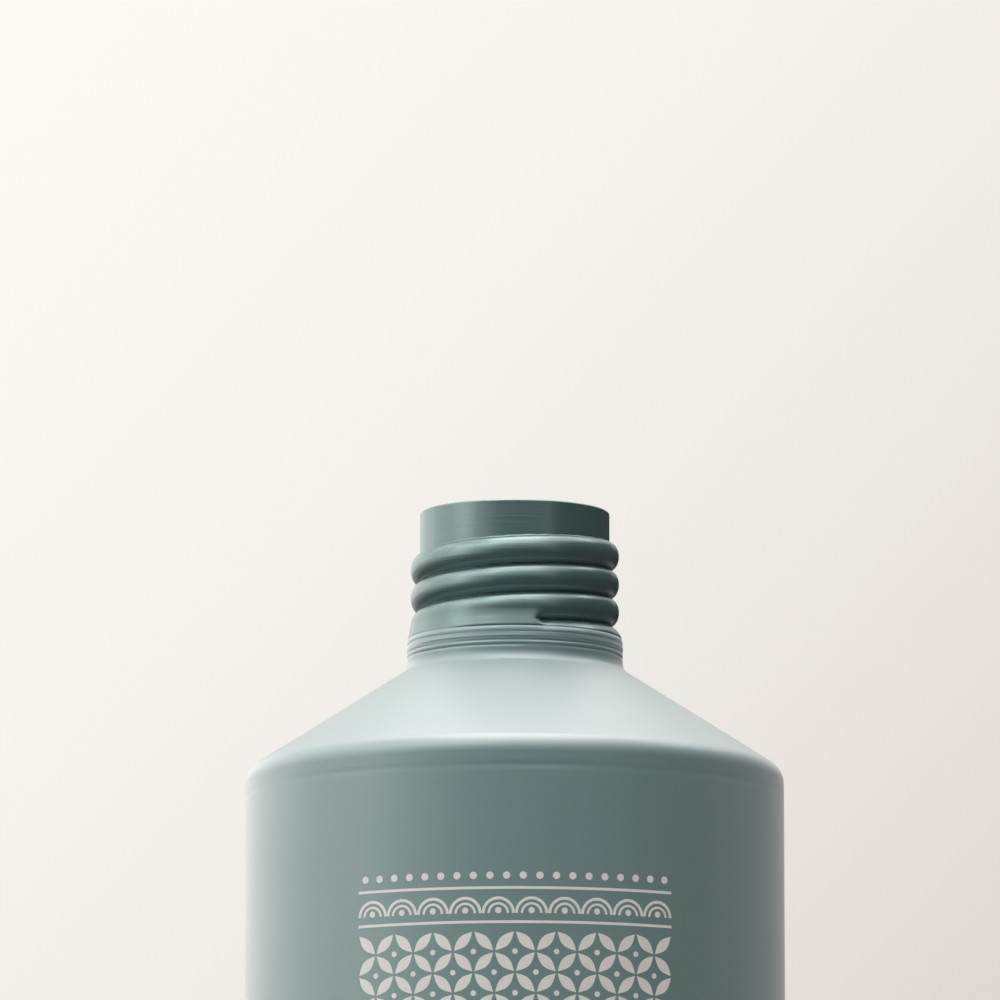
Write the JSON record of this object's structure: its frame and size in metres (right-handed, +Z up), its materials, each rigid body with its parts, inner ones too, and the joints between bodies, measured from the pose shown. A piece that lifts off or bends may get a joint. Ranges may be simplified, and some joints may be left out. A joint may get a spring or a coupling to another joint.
{
  "type": "conditioner bottle",
  "caption": "Round lacquered aluminium bottle with a conical shoulder and an open threaded neck with a turned-in lip; holds hair conditioner and takes a screw closure.",
  "frame": {"origin": "centre of the flat standing ring, on the surface the bottle stands on", "axes": "+Z up along the bottle's axis to the mouth, -Y towards the front that carries the print"},
  "size_m": [0.06, 0.06, 0.168],
  "materials": {
    "lacquered_aluminium": "satin grey-teal lacquer over aluminium"
  },
  "bodies": {
    "root": {"bottle": "lacquered_aluminium"}
  },
  "joints": []
}
